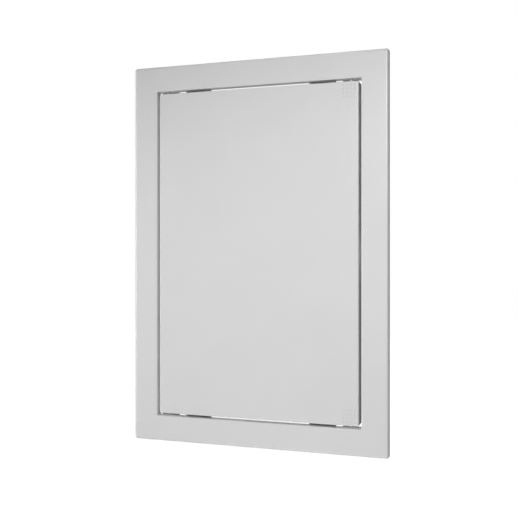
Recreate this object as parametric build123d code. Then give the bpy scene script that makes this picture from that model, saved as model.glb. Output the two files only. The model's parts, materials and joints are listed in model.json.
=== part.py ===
"""A moulded plastic access panel: a flat frame for a wall cut-out with a flush door that turns on snap pivots.

Millimetres. X runs to the right, Y into the wall and Z up. The wall's face is the plane Y = 0, and the
origin is on it at the middle of the frame's bottom edge. The door opens towards -Y.
"""

import os

from build123d import *

# Opening and frame
OPENING_WIDTH = 175.0
OPENING_HEIGHT = 275.0
BORDER_WIDTH = 21.5
FLANGE_DEPTH = 4.0
FACE_THICKNESS = 2.0
OUTER_WALL = 2.0
CORNER_RADIUS = 2.4
OUTER_EDGE_RADIUS = 2.2
LIP_DEPTH = 7.0
LIP_WALL = 2.0
LIP_EDGE_RADIUS = 1.0

# Collar that goes into the wall
FLANGE_OVERHANG = 11.0
COLLAR_DEPTH = 20.0
COLLAR_WALL = 2.0
COLLAR_CORNER_RADIUS = 3.0
COLLAR_LEAD_IN = 1.0

# Door
DOOR_GAP = 2.1
DOOR_RECESS = 0.1
DOOR_SKIN = 2.0
DOOR_DEPTH = 12.0
DOOR_WALL = 1.8
DOOR_EDGE_RADIUS = 1.0
DOOR_CORNER_RADIUS = 1.2
DOOR_BACK_RADIUS = 0.4
RIB_THICKNESS = 1.6
RIB_HEIGHT = 5.0
CROSS_RIBS = 3

# Pivot pins, which stand on blocks behind the lip
PIN_RADIUS = 1.25
PIN_INSET = 8.5
PIN_DEPTH = 5.0
PIN_REACH = 7.0
PIN_TIP_CHAMFER = 0.3
PIN_HOLE_CLEARANCE = 0.05
PIVOT_INSET = 0.9
PIVOT_LENGTH = 15.4
PIVOT_BACK = 4.0
PIVOT_COLLAR_CLEARANCE = 2.0
PIVOT_EDGE_RADIUS = 0.5

# Snap clips on the door, open to the back
CLIP_WIDTH = 6.4
CLIP_LENGTH = 7.0
CLIP_DEPTH = 8.0
HINGE_CLEARANCE = 0.1
SNAP_NECK = 2.1
CATCH_CLEARANCE = 0.3
MOUTH_FLARE = 0.4
SLOT_CLEARANCE = 0.5

# Stops that the closed door rests against
STOP_INSET = 23.0
STOP_LENGTH = 21.0
STOP_TAB = 5.0
STOP_THICKNESS = 2.0
STOP_CLEARANCE = 0.3
STOP_EDGE_RADIUS = 0.5

# Raised dots where the door is pressed or pulled
DOT_COUNT = 4
DOT_PITCH = 3.0
DOT_RADIUS = 0.6
DOT_HEIGHT = 0.35
DOT_SIDE_MARGIN = 3.4
DOT_END_MARGIN = 3.0

# Sizes that follow from the ones above
FRAME_WIDTH = OPENING_WIDTH + 2 * BORDER_WIDTH
FRAME_HEIGHT = OPENING_HEIGHT + 2 * BORDER_WIDTH
COLLAR_WIDTH = FRAME_WIDTH - 2 * FLANGE_OVERHANG
COLLAR_HEIGHT = FRAME_HEIGHT - 2 * FLANGE_OVERHANG
MIDDLE_HEIGHT = FRAME_HEIGHT / 2
OPENING_SIDE = OPENING_WIDTH / 2
OPENING_TOP = MIDDLE_HEIGHT + OPENING_HEIGHT / 2
DOOR_WIDTH = OPENING_WIDTH - 2 * DOOR_GAP
DOOR_HEIGHT = OPENING_HEIGHT - 2 * DOOR_GAP
DOOR_SIDE = DOOR_WIDTH / 2
DOOR_TOP = MIDDLE_HEIGHT + DOOR_HEIGHT / 2
DOOR_BACK = DOOR_RECESS + DOOR_DEPTH
SKIN_BACK = DOOR_RECESS + DOOR_SKIN
PIN_X = OPENING_SIDE - PIN_INSET
PIVOT_HEIGHT = BORDER_WIDTH - FLANGE_OVERHANG - COLLAR_WALL - PIVOT_COLLAR_CLEARANCE
STOP_PLANE = DOOR_BACK + STOP_CLEARANCE
STOP_HEIGHT = LIP_WALL + STOP_THICKNESS

MIDDLE_PLANE = Plane(origin=(0, 0, MIDDLE_HEIGHT), x_dir=(1, 0, 0), z_dir=(0, 0, 1))


def behind(depth):
    """The Y of a level so far behind the frame's front face."""
    return depth - FLANGE_DEPTH


def block(width, height, front, back, corner=0.0):
    """A block centred on the panel, between two depths behind the frame's front face."""
    level = Plane(origin=(0, behind(back), MIDDLE_HEIGHT), x_dir=(1, 0, 0), z_dir=(0, -1, 0))
    outline = RectangleRounded(width, height, corner) if corner else Rectangle(width, height)
    return extrude(level * outline, back - front)


def front_face(shape):
    """The flat face of a shape that looks out of the wall."""
    return shape.faces().filter_by(Axis.Y).sort_by(Axis.Y)[0]


def back_face(shape):
    """The flat face of a shape that lies deepest in the wall."""
    return shape.faces().filter_by(Axis.Y).sort_by(Axis.Y)[-1]


def along_width(points, start, length):
    """A bar of constant section along X, from points of depth and height above the opening's top edge."""
    section = Plane(origin=(start, behind(0), OPENING_TOP), x_dir=(0, 1, 0), z_dir=(1, 0, 0))
    return extrude(section * make_face(Polyline(*points, close=True)), length)


def at_bottom(shape):
    """The same piece at the bottom of the panel."""
    return mirror(shape, MIDDLE_PLANE)


def at_right(shape):
    """The same piece on the right side of the panel."""
    return mirror(shape, Plane.YZ)


def face_frame():
    """The flat surround: a thin face with a rounded rim turned back to the wall and a lip round the opening."""
    shape = block(FRAME_WIDTH, FRAME_HEIGHT, 0, FLANGE_DEPTH, CORNER_RADIUS)
    shape = fillet(front_face(shape).outer_wire().edges(), OUTER_EDGE_RADIUS)
    shape -= block(
        FRAME_WIDTH - 2 * OUTER_WALL,
        FRAME_HEIGHT - 2 * OUTER_WALL,
        FACE_THICKNESS,
        FLANGE_DEPTH,
        CORNER_RADIUS - OUTER_WALL,
    )
    shape += block(OPENING_WIDTH + 2 * LIP_WALL, OPENING_HEIGHT + 2 * LIP_WALL, FACE_THICKNESS, LIP_DEPTH)
    shape -= block(OPENING_WIDTH, OPENING_HEIGHT, 0, LIP_DEPTH)
    shape = fillet(front_face(shape).inner_wires()[0].edges(), LIP_EDGE_RADIUS)
    hole = Pos(-PIN_X, behind(PIN_DEPTH), MIDDLE_HEIGHT) * Cylinder(
        PIN_RADIUS + PIN_HOLE_CLEARANCE, OPENING_HEIGHT + 4 * LIP_WALL
    )
    return shape - hole - at_right(hole)


def wall_collar():
    """The four-sided sleeve behind the face that goes into the wall's cut-out."""
    back = FLANGE_DEPTH + COLLAR_DEPTH
    outer = block(COLLAR_WIDTH, COLLAR_HEIGHT, FACE_THICKNESS, back, COLLAR_CORNER_RADIUS)
    outer = chamfer(back_face(outer).edges(), COLLAR_LEAD_IN)
    inner = block(
        COLLAR_WIDTH - 2 * COLLAR_WALL,
        COLLAR_HEIGHT - 2 * COLLAR_WALL,
        FACE_THICKNESS,
        back,
        COLLAR_CORNER_RADIUS - COLLAR_WALL,
    )
    return outer - inner


def pivot():
    """The top left pivot: a block hooked over the lip, with its pin through the lip into the opening."""
    points = [
        (LIP_DEPTH, 0),
        (LIP_DEPTH + PIVOT_BACK, 0),
        (LIP_DEPTH + PIVOT_BACK, PIVOT_HEIGHT),
        (FACE_THICKNESS, PIVOT_HEIGHT),
        (FACE_THICKNESS, LIP_WALL),
        (LIP_DEPTH, LIP_WALL),
    ]
    shape = along_width(points, PIVOT_INSET - OPENING_SIDE, PIVOT_LENGTH)
    shape = fillet(back_face(shape).edges(), PIVOT_EDGE_RADIUS)
    length = LIP_WALL + DOOR_GAP + PIN_REACH
    pin = Cylinder(PIN_RADIUS, length, align=(Align.CENTER, Align.CENTER, Align.MIN))
    pin = chamfer(pin.edges().sort_by(Axis.Z)[0], PIN_TIP_CHAMFER)
    return shape + Pos(-PIN_X, behind(PIN_DEPTH), OPENING_TOP + LIP_WALL - length) * pin


def door_stop():
    """The top left stop: an angle hooked over the lip, with a tab down behind the door's rim."""
    points = [
        (LIP_DEPTH, 0),
        (STOP_PLANE, 0),
        (STOP_PLANE, -STOP_TAB),
        (STOP_PLANE + STOP_THICKNESS, -STOP_TAB),
        (STOP_PLANE + STOP_THICKNESS, STOP_HEIGHT),
        (FACE_THICKNESS, STOP_HEIGHT),
        (FACE_THICKNESS, LIP_WALL),
        (LIP_DEPTH, LIP_WALL),
    ]
    shape = along_width(points, STOP_INSET - OPENING_SIDE, STOP_LENGTH)
    return fillet(back_face(shape).edges(), STOP_EDGE_RADIUS)


def pin_slot():
    """The cut in the door's rim round the top left pin, which runs out to the back of the door."""
    half_width = PIN_RADIUS + SLOT_CLEARANCE
    length = DOOR_BACK - PIN_DEPTH
    outline = Pos(0, length / 2) * Rectangle(2 * half_width, length) + Circle(half_width)
    return Pos(-PIN_X, behind(PIN_DEPTH), DOOR_TOP - DOOR_WALL) * extrude(outline, DOOR_WALL)


def door_leaf():
    """The door: a shallow tray with rounded edges, ribs on its back and a slot for each pivot pin."""
    shape = block(DOOR_WIDTH, DOOR_HEIGHT, DOOR_RECESS, DOOR_BACK, DOOR_CORNER_RADIUS)
    shape = fillet(front_face(shape).outer_wire().edges(), DOOR_EDGE_RADIUS)
    shape = fillet(back_face(shape).outer_wire().edges(), DOOR_BACK_RADIUS)
    shape -= block(DOOR_WIDTH - 2 * DOOR_WALL, DOOR_HEIGHT - 2 * DOOR_WALL, SKIN_BACK, DOOR_BACK)
    rib_back = SKIN_BACK + RIB_HEIGHT
    shape += block(RIB_THICKNESS, DOOR_HEIGHT - 2 * DOOR_WALL, SKIN_BACK, rib_back)
    rib = block(DOOR_WIDTH - 2 * DOOR_WALL, RIB_THICKNESS, SKIN_BACK, rib_back)
    spacing = DOOR_HEIGHT / (CROSS_RIBS + 1)
    for i in range(CROSS_RIBS):
        shape += Pos(0, 0, (i + 1) * spacing - DOOR_HEIGHT / 2) * rib
    slot = pin_slot()
    for cut in (slot, at_right(slot)):
        shape -= cut
        shape -= at_bottom(cut)
    return shape


def clip(bore, neck):
    """A top left clip behind the door's rim: a block with a round seat for the pin and a flared mouth."""
    seat = PIN_DEPTH - SKIN_BACK
    outline = Pos(0, CLIP_DEPTH / 2 - seat) * Rectangle(CLIP_WIDTH, CLIP_DEPTH)
    outline -= Circle(bore)
    back = CLIP_DEPTH - seat
    mouth = Polyline(
        (-neck, 0),
        (neck, 0),
        (neck, back / 2),
        (neck + MOUTH_FLARE, back),
        (-neck - MOUTH_FLARE, back),
        (-neck, back / 2),
        close=True,
    )
    outline -= make_face(mouth)
    height = DOOR_TOP - DOOR_WALL - CLIP_LENGTH
    return Pos(-PIN_X, behind(PIN_DEPTH), height) * extrude(outline, CLIP_LENGTH)


def press_dots():
    """The square patch of raised dots near the top right corner of the door."""
    stud = Cone(DOT_RADIUS, 0, DOT_HEIGHT, align=(Align.CENTER, Align.CENTER, Align.MIN))
    dot = Plane(origin=(0, 0, 0), x_dir=(1, 0, 0), z_dir=(0, -1, 0)) * stud
    right = DOOR_SIDE - DOT_SIDE_MARGIN
    top = DOOR_TOP - DOT_END_MARGIN
    dots = []
    for i in range(DOT_COUNT):
        for j in range(DOT_COUNT):
            place = Pos(right - i * DOT_PITCH, behind(DOOR_RECESS), top - j * DOT_PITCH)
            dots.append(place * dot)
    return Compound(children=dots)


os.makedirs("parts", exist_ok=True)
hinge_clip = clip(PIN_RADIUS + HINGE_CLEARANCE, SNAP_NECK / 2)
catch_clip = at_right(clip(PIN_RADIUS + CATCH_CLEARANCE, PIN_RADIUS + CATCH_CLEARANCE))
pieces = {
    "face_frame": face_frame(),
    "wall_collar": wall_collar(),
    "hinge_pivot_top": pivot(),
    "hinge_pivot_bottom": at_bottom(pivot()),
    "catch_pivot_top": at_right(pivot()),
    "catch_pivot_bottom": at_bottom(at_right(pivot())),
    "door_stop_top_left": door_stop(),
    "door_stop_top_right": at_right(door_stop()),
    "door_stop_bottom_left": at_bottom(door_stop()),
    "door_stop_bottom_right": at_bottom(at_right(door_stop())),
    "door_leaf": door_leaf(),
    "hinge_clip_top": hinge_clip,
    "hinge_clip_bottom": at_bottom(hinge_clip),
    "catch_clip_top": catch_clip,
    "catch_clip_bottom": at_bottom(catch_clip),
    "press_dots_top": press_dots(),
    "press_dots_bottom": at_bottom(press_dots()),
}
for name, shape in pieces.items():
    export_step(shape, f"parts/{name}.step")
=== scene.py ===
"""The looks of the access panel: moulded plastic on every piece, a white studio
and the photograph's view."""

import json
import math

import bmesh
import bpy
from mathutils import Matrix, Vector


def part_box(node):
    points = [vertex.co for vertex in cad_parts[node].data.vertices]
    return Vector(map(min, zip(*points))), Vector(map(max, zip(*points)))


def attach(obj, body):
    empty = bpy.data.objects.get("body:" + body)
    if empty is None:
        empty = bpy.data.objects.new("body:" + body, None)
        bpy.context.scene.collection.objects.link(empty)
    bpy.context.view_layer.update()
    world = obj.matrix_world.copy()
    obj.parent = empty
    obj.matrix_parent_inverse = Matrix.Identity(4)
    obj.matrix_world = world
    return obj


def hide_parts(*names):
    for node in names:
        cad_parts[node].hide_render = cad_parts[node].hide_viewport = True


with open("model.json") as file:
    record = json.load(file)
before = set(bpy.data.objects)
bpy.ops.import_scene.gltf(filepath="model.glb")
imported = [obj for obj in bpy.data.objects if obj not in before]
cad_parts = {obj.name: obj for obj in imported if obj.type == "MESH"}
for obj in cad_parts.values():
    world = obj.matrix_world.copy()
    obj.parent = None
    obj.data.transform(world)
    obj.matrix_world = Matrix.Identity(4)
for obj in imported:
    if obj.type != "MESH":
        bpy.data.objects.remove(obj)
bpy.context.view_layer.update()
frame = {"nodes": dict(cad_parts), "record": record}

# Camera, in metres from the middle of the panel's front face, with its lens and sensor in millimetres
FACE_MIDDLE = Vector((0.0, -0.004, 0.159))
CAMERA_OFFSET = Vector((0.1952, -0.5897, 0.0))
CAMERA_LOOKS_ALONG = Vector((-0.3091, 0.9510, 0.0))
CAMERA_LENS = 52.72
CAMERA_SENSOR = 36.0
CAMERA_SHIFT_Y = -0.01227
CAMERA_NEAR_LIMIT = 0.01

# Floor and background
WHITE = (1.0, 1.0, 1.0, 1.0)
FLOOR_HEIGHT = -0.6
FLOOR_SIZE = 12.0
FLOOR_GREY = 0.8
MATT_ROUGHNESS = 1.0

# Light from all round: its strength in front and straight behind, and how far back
# a direction has to point, from 0 to 1, before the strength starts to rise
AMBIENT = 0.05
AMBIENT_BEHIND = 0.8
BEHIND_STARTS = 0.4

# Dark cards behind the panel to its right, which show only in reflections: left and right ends,
# bottom and top. Places here and below are in metres from the middle of the front face
CARD_GREY = 0.03
CARDS = {
    "card_high": ((0.1, 0.8), (0.9, 0.3), 0.022, 0.6),
    "card_low": ((0.1, 0.8), (0.9, 0.3), -0.6, -0.022),
    "card_near": ((0.11, 0.1), (0.35, 0.1), -0.6, 0.6),
}

# Soft rectangular lamps: place, aim, width and height, power in watts
LAMPS = {
    "front": ((0.1, -0.5, -0.05), (0.1, 0.0, -0.05), (0.15, 0.15), 0.138),
    "under": ((0.05, -0.25, -0.45), (0.0, 0.0, 0.0), (0.4, 0.2), 0.648),
    "left": ((-0.65, -0.4, 0.0), (0.05, 0.0, 0.0), (0.5, 0.7), 2.1),
    "top": ((0.1, -0.4, 0.9), (0.0, 0.0, 0.0), (0.6, 0.4), 1.658),
}

# Round lamps whose light fades towards the edge of a cone: place, aim, radius,
# half angle in degrees, fade, power in watts
SPOTS = {
    "key": ((0.19, -0.6, 0.25), (0.05, 0.0, -0.02), 0.06, 27.0, 1.0, 7.055),
    "left_key": ((-0.6, -0.4, 0.0), (0.06, 0.0, 0.0), 0.2, 17.0, 1.0, 6.8),
}

# Moulded plastic, with sizes in metres: satin on the frame's face and on the door, plain and duller
# on the other pieces. Each slot's pattern is shifted, so that it differs between frame and door
PLASTIC_GREY = 0.7
PLASTIC_IOR = 1.59
FINISHES = {
    "satin": {"roughness": (0.33, 0.39), "gloss": 0.7},
    "plain": {"roughness": (0.7, 0.8), "gloss": 0.1},
}
SATIN_PIECES = ("face_frame", "door_leaf")
SLOT_SHIFTS = {"frame_plastic": 0.0, "door_plastic": 0.7}
CLOUDS_PER_METRE = 35.0
CLOUD_DETAIL = 3.0
GRAIN_PER_METRE = 2600.0
GRAIN_DETAIL = 2.0
GRAIN_DRAW = 0.08
GRAIN_SHARE = 0.25
GRAIN_STRENGTH = 0.15
GRAIN_DEPTH = 0.00005
MOTTLE_RANGE = (0.3, 0.7)
MOTTLE_SHADES = (0.985, 1.01)

# Raised dots: rounded buttons in square patches, with their profile as shares of the radius and height,
# and the angle in degrees from which an edge stays sharp
DOT_PATCHES = ("press_dots_top", "press_dots_bottom")
DOT_COUNT = 4
DOT_RADIUS = 0.0006
DOT_SIDES = 16
DOT_PROFILE = ((1.0, 0.0), (1.0, 0.5), (0.95, 0.75), (0.82, 0.93), (0.6, 1.0))
DOT_SHARP_ANGLE = 50.0


def grey(level):
    """A neutral colour of one level."""
    return (level, level, level, 1.0)


def add_object(name, data):
    """A new object in the scene."""
    thing = bpy.data.objects.new(name, data)
    bpy.context.scene.collection.objects.link(thing)
    return thing


def flat_sheet(name, corners, material):
    """A flat sheet with four corners."""
    mesh = bpy.data.meshes.new(name)
    mesh.from_pydata(corners, [], [(0, 1, 2, 3)])
    mesh.materials.append(material)
    return add_object(name, mesh)


def turn_along(direction):
    """The turn that makes a lamp or the camera look along a direction."""
    return direction.to_track_quat("-Z", "Y").to_euler()


def new_material(name):
    """A new material and its shader."""
    material = bpy.data.materials.new(name)
    material.use_nodes = True
    return material, material.node_tree.nodes["Principled BSDF"]


def make_matt(shader, level):
    """Give a shader one grey and no gloss."""
    shader.inputs["Base Color"].default_value = grey(level)
    shader.inputs["Roughness"].default_value = MATT_ROUGHNESS
    shader.inputs["Specular IOR Level"].default_value = 0.0


def noise(nodes, links, place, per_metre, detail):
    """A cloudy pattern with so many clouds to the metre."""
    pattern = nodes.new("ShaderNodeTexNoise")
    pattern.inputs["Scale"].default_value = per_metre
    pattern.inputs["Detail"].default_value = detail
    links.new(place, pattern.inputs["Vector"])
    return pattern.outputs["Fac"]


def moulded_plastic(name, finish, shift):
    """Light plastic: faint clouding, and a fine grain drawn out along the way the piece leaves its mould."""
    material, shader = new_material(name)
    nodes = material.node_tree.nodes
    links = material.node_tree.links
    shader.inputs["IOR"].default_value = PLASTIC_IOR
    shader.inputs["Specular IOR Level"].default_value = finish["gloss"]
    place = nodes.new("ShaderNodeTexCoord")
    drawn = nodes.new("ShaderNodeMapping")
    drawn.inputs["Location"].default_value = (shift, shift, shift)
    drawn.inputs["Scale"].default_value = (1.0, GRAIN_DRAW, 1.0)
    links.new(place.outputs["Object"], drawn.inputs["Vector"])
    grain = noise(nodes, links, drawn.outputs["Vector"], GRAIN_PER_METRE, GRAIN_DETAIL)
    clouds = noise(nodes, links, drawn.outputs["Vector"], CLOUDS_PER_METRE, CLOUD_DETAIL)
    mottle = nodes.new("ShaderNodeMix")
    mottle.inputs["Factor"].default_value = GRAIN_SHARE
    links.new(clouds, mottle.inputs["A"])
    links.new(grain, mottle.inputs["B"])

    colour = nodes.new("ShaderNodeValToRGB")
    for element, position, shade in zip(colour.color_ramp.elements, MOTTLE_RANGE, MOTTLE_SHADES):
        element.position = position
        element.color = grey(PLASTIC_GREY * shade)
    links.new(mottle.outputs["Result"], colour.inputs["Fac"])
    links.new(colour.outputs["Color"], shader.inputs["Base Color"])

    polish = nodes.new("ShaderNodeMapRange")
    polish.inputs["From Min"].default_value = MOTTLE_RANGE[0]
    polish.inputs["From Max"].default_value = MOTTLE_RANGE[1]
    polish.inputs["To Min"].default_value = finish["roughness"][0]
    polish.inputs["To Max"].default_value = finish["roughness"][1]
    links.new(mottle.outputs["Result"], polish.inputs["Value"])
    links.new(polish.outputs["Result"], shader.inputs["Roughness"])

    bump = nodes.new("ShaderNodeBump")
    bump.inputs["Strength"].default_value = GRAIN_STRENGTH
    bump.inputs["Distance"].default_value = GRAIN_DEPTH
    links.new(grain, bump.inputs["Height"])
    links.new(bump.outputs["Normal"], shader.inputs["Normal"])
    return material


def make_plastics():
    """One plastic for each slot and finish."""
    plastics = {}
    for slot, shift in SLOT_SHIFTS.items():
        for finish in FINISHES:
            plastics[slot, finish] = moulded_plastic(f"{slot}_{finish}", FINISHES[finish], shift)
    return plastics


def add_button(shape, middle, height):
    """One rounded button, built up from rings round the middle of its foot."""
    rings = []
    for radius, rise in DOT_PROFILE:
        ring = []
        for k in range(DOT_SIDES):
            turn = 2 * math.pi * k / DOT_SIDES
            side = Vector((math.cos(turn), 0.0, math.sin(turn))) * DOT_RADIUS * radius
            ring.append(shape.verts.new(middle + side - Vector((0.0, height * rise, 0.0))))
        rings.append(ring)
    for under, over in zip(rings, rings[1:]):
        for k in range(DOT_SIDES):
            shape.faces.new((under[k - 1], under[k], over[k], over[k - 1]))
    shape.faces.new(rings[0])
    shape.faces.new(rings[-1])


def round_dots(node, material):
    """Rounded buttons that stand for the plain cones of one patch of dots."""
    low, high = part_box(node)
    height = high.y - low.y
    pitch = (high.x - low.x - 2 * DOT_RADIUS) / (DOT_COUNT - 1)
    shape = bmesh.new()
    for i in range(DOT_COUNT):
        for j in range(DOT_COUNT):
            middle = Vector((low.x + DOT_RADIUS + i * pitch, high.y, low.z + DOT_RADIUS + j * pitch))
            add_button(shape, middle, height)
    bmesh.ops.recalc_face_normals(shape, faces=shape.faces)
    mesh = bpy.data.meshes.new(f"{node}_buttons")
    shape.to_mesh(mesh)
    shape.free()
    mesh.shade_smooth()
    mesh.set_sharp_from_angle(angle=math.radians(DOT_SHARP_ANGLE))
    mesh.materials.append(material)
    buttons = add_object(f"{node}_buttons", mesh)
    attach(buttons, "door")
    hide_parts(node)


def white_for_the_camera(nodes, links):
    """A value that is 1 for what the camera sees, straight or in a reflection, and 0 for other light."""
    rays = nodes.new("ShaderNodeLightPath")
    seen = rays.outputs["Is Camera Ray"]
    for kind in ("Is Glossy Ray", "Is Transmission Ray"):
        either = nodes.new("ShaderNodeMath")
        either.operation = "MAXIMUM"
        links.new(seen, either.inputs[0])
        links.new(rays.outputs[kind], either.inputs[1])
        seen = either.outputs["Value"]
    return seen


def make_world():
    """A surround that the camera sees as white, with faint light in front and more behind."""
    world = bpy.data.worlds.new("studio")
    bpy.context.scene.world = world
    world.use_nodes = True
    nodes = world.node_tree.nodes
    links = world.node_tree.links
    background = nodes["Background"]
    background.inputs["Color"].default_value = WHITE
    direction = nodes.new("ShaderNodeTexCoord")
    parts = nodes.new("ShaderNodeSeparateXYZ")
    links.new(direction.outputs["Generated"], parts.inputs["Vector"])
    ambient = nodes.new("ShaderNodeMapRange")
    ambient.inputs["From Min"].default_value = BEHIND_STARTS
    ambient.inputs["To Min"].default_value = AMBIENT
    ambient.inputs["To Max"].default_value = AMBIENT_BEHIND
    links.new(parts.outputs["Y"], ambient.inputs["Value"])
    strength = nodes.new("ShaderNodeMix")
    strength.inputs["B"].default_value = 1.0
    links.new(white_for_the_camera(nodes, links), strength.inputs["Factor"])
    links.new(ambient.outputs["Result"], strength.inputs["A"])
    links.new(strength.outputs["Result"], background.inputs["Strength"])


def make_floor():
    """A plain pale floor well below the panel, lifted to white for the camera where no shadow falls."""
    material, shader = new_material("floor")
    nodes = material.node_tree.nodes
    links = material.node_tree.links
    make_matt(shader, FLOOR_GREY)
    shader.inputs["Emission Color"].default_value = WHITE
    lift = nodes.new("ShaderNodeMath")
    lift.operation = "MULTIPLY"
    lift.inputs[1].default_value = 1.0 - AMBIENT * FLOOR_GREY
    links.new(white_for_the_camera(nodes, links), lift.inputs[0])
    links.new(lift.outputs["Value"], shader.inputs["Emission Strength"])
    half = FLOOR_SIZE / 2
    corners = [(-half, -half), (half, -half), (half, half), (-half, half)]
    floor = flat_sheet("floor", [(x, y, FLOOR_HEIGHT) for x, y in corners], material)


def make_cards():
    """Dark cards off to the right, for the side of the rim and the gap to reflect."""
    material, shader = new_material("card")
    make_matt(shader, CARD_GREY)
    for name, (left, right, bottom, top) in CARDS.items():
        corners = [(*left, bottom), (*right, bottom), (*right, top), (*left, top)]
        card = flat_sheet(name, [FACE_MIDDLE + Vector(corner) for corner in corners], material)
        card.visible_camera = False
        card.visible_diffuse = False
        card.visible_shadow = False


def hang(light, place, aim, power):
    """Put a lamp in its place, turned to its aim and out of the camera's sight."""
    light.energy = power
    lamp = add_object(light.name, light)
    lamp.visible_camera = False
    lamp.location = FACE_MIDDLE + Vector(place)
    lamp.rotation_euler = turn_along(Vector(aim) - Vector(place))


def make_lamps():
    """Soft rectangular lamps round the panel, and round ones that fade towards their edge."""
    for name, (place, aim, (width, height), power) in LAMPS.items():
        light = bpy.data.lights.new(name, "AREA")
        light.shape = "RECTANGLE"
        light.size = width
        light.size_y = height
        hang(light, place, aim, power)
    for name, (place, aim, radius, half_angle, fade, power) in SPOTS.items():
        light = bpy.data.lights.new(name, "SPOT")
        light.shadow_soft_size = radius
        light.spot_size = math.radians(2 * half_angle)
        light.spot_blend = fade
        hang(light, place, aim, power)


def make_camera():
    """The photograph's view, level with the middle of the panel and off to its right."""
    data = bpy.data.cameras.new("camera")
    data.lens = CAMERA_LENS
    data.sensor_width = CAMERA_SENSOR
    data.shift_y = CAMERA_SHIFT_Y
    data.clip_start = CAMERA_NEAR_LIMIT
    camera = add_object("camera", data)
    camera.location = FACE_MIDDLE + CAMERA_OFFSET
    camera.rotation_euler = turn_along(CAMERA_LOOKS_ALONG)
    bpy.context.scene.camera = camera


plastics = make_plastics()
for piece in frame["record"]["subparts"]:
    finish = "satin" if piece["node"] in SATIN_PIECES else "plain"
    materials = frame["nodes"][piece["node"]].data.materials
    materials.clear()
    materials.append(plastics[piece["material_slot"], finish])
for patch in DOT_PATCHES:
    round_dots(patch, plastics["door_plastic", "plain"])

make_world()
make_floor()
make_cards()
make_lamps()
make_camera()
bpy.context.scene.view_settings.view_transform = "Standard"
